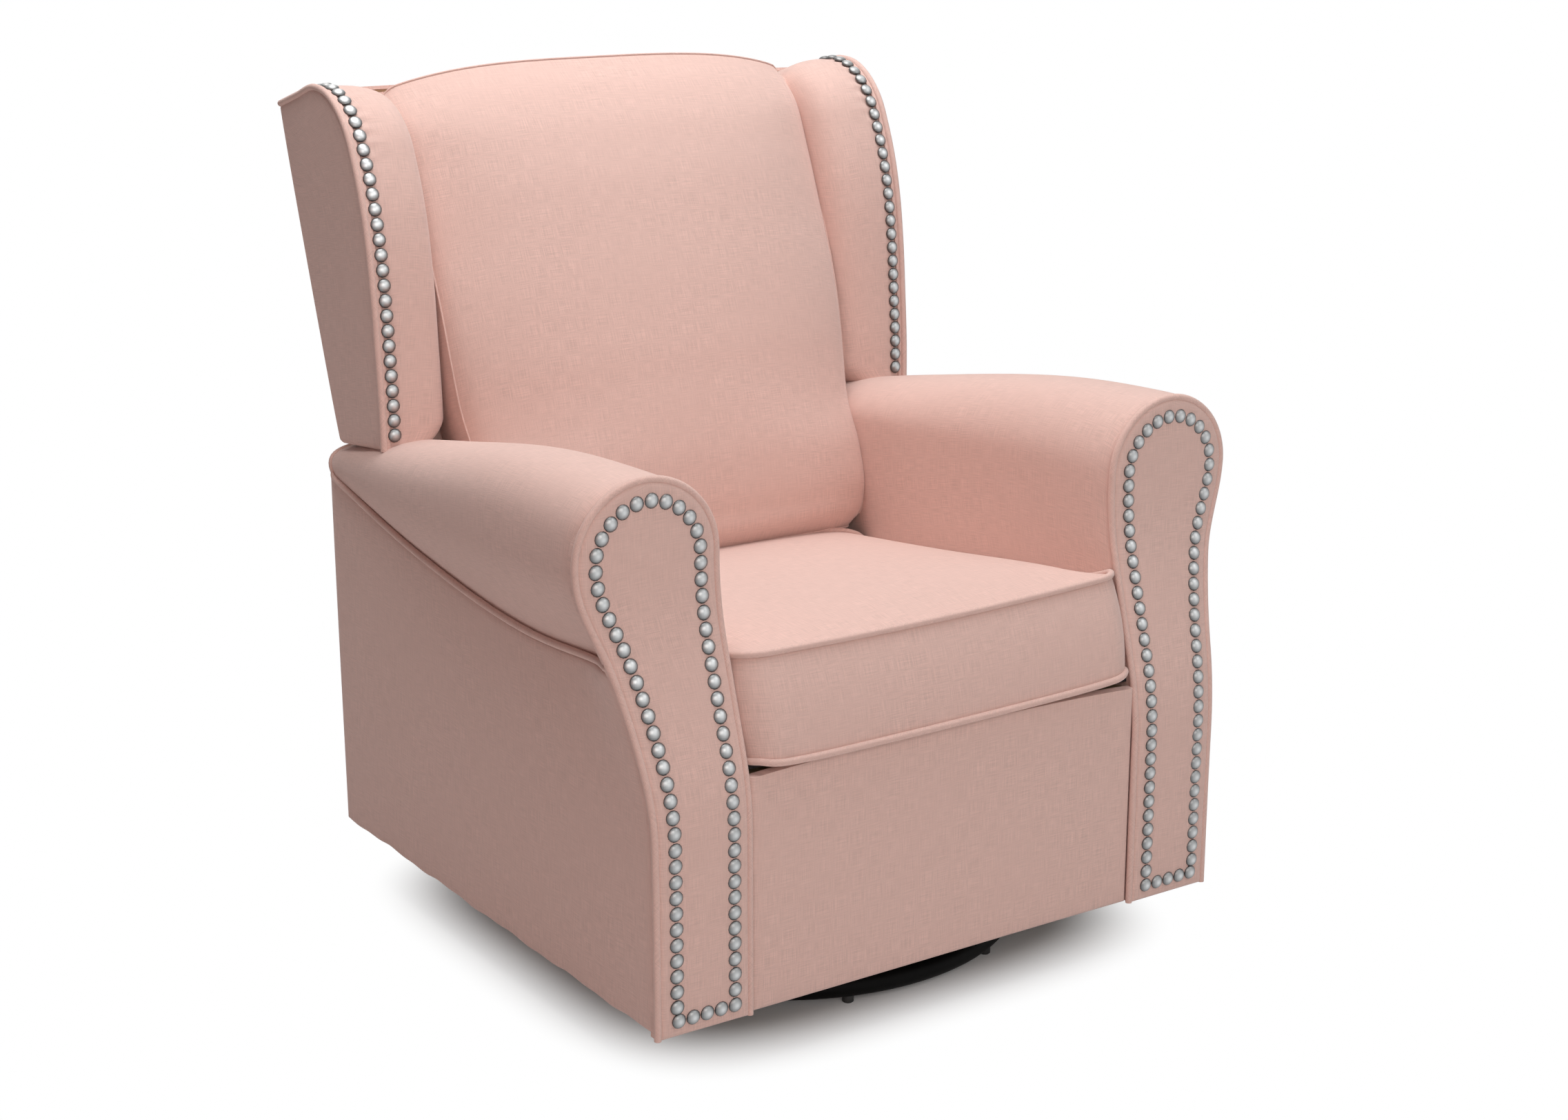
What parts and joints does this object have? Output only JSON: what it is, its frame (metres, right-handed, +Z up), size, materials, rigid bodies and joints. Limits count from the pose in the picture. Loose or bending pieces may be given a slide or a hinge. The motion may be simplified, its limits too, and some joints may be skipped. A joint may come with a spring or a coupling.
{
  "type": "glider nursery chair",
  "caption": "Upholstered wing-back swivel glider chair with rolled arms, loose seat cushion and round swivel base.",
  "frame": {"origin": "on the floor, under the middle of the chair's overall box", "axes": "+Z up; the sitter faces -Y; +X is to the right as seen from the front"},
  "size_m": [0.836, 0.823, 0.9583],
  "materials": {
    "upholstery": "blush linen-look weave",
    "frame_wood": "bare sawn plywood and softwood",
    "black_steel": "satin black powder coat",
    "bright_steel": "zinc plated",
    "black_plastic": "moulded, matt",
    "buffer_rubber": "moulded rubber",
    "lining": "black lining cloth and webbing"
  },
  "bodies": {
    "base": {"base_ring": "black_steel", "base_feet": "black_plastic", "base_spider": "black_steel", "swivel_lower_plate": "black_steel", "swivel_slip_ring": "black_plastic", "kingpin": "bright_steel", "kingpin_washer": "bright_steel", "kingpin_nut": "bright_steel"},
    "carriage": {"swivel_upper_plate": "black_steel", "swivel_bush": "black_plastic", "carriage_front_beam": "black_steel", "carriage_rear_beam": "black_steel", "carriage_left_side": "black_steel", "carriage_right_side": "black_steel", "upper_pivot_pins": "bright_steel", "glide_stops": "buffer_rubber"},
    "front_links": {"front_left_link": "black_steel", "front_right_link": "black_steel", "front_link_bushes": "black_plastic", "front_link_tie_bar": "black_steel"},
    "rear_links": {"rear_left_link": "black_steel", "rear_right_link": "black_steel", "rear_link_bushes": "black_plastic", "rear_link_tie_bar": "black_steel"},
    "chair": {"arm_spacers": "frame_wood", "back_brackets": "bright_steel", "back_cushion": "upholstery", "back_lower_rail": "frame_wood", "back_top_rail": "frame_wood", "back_webs": "lining", "corner_blocks": "frame_wood", "front_apron": "upholstery", "front_rail": "frame_wood", "hanger_bolts": "bright_steel", "left_arm_board": "frame_wood", "left_arm_front": "upholstery", "left_arm_pad": "upholstery", "left_back_post": "frame_wood", "left_hanger": "black_steel", "left_outside_arm": "upholstery", "left_side_rail": "frame_wood", "left_wing_pad": "upholstery", "left_wing_panel": "upholstery", "lower_back_panel": "upholstery", "lower_pivot_pins": "bright_steel", "outside_back": "upholstery", "rear_rail": "frame_wood", "right_arm_board": "frame_wood", "right_arm_front": "upholstery", "right_arm_pad": "upholstery", "right_back_post": "frame_wood", "right_hanger": "black_steel", "right_outside_arm": "upholstery", "right_side_rail": "frame_wood", "right_wing_pad": "upholstery", "right_wing_panel": "upholstery", "seat_cushion": "upholstery", "seat_deck": "lining", "seat_springs": "bright_steel", "spring_clips": "bright_steel"}
  },
  "joints": [
    {"name": "swivel", "type": "hinge", "parent": "base", "child": "carriage", "pos_m": [0, -0.08651, 0.05], "axis": [0, 0, 1], "continuous": true},
    {"name": "glide", "type": "hinge", "parent": "carriage", "child": "front_links", "pos_m": [0, -0.19651, 0.205], "axis": [1, 0, 0], "range_deg": [-25, 25]},
    {"name": "chair_level", "type": "hinge", "parent": "front_links", "child": "chair", "pos_m": [0, -0.19651, 0.085], "axis": [1, 0, 0], "range_deg": [-25, 25]},
    {"name": "rear_glide", "type": "hinge", "parent": "carriage", "child": "rear_links", "pos_m": [0, 0.02349, 0.205], "axis": [1, 0, 0], "range_deg": [-25, 25]}
  ],
  "couplings": [
    {"joint": "chair_level", "follows": "glide", "ratio": -1},
    {"joint": "rear_glide", "follows": "glide", "ratio": 1}
  ]
}
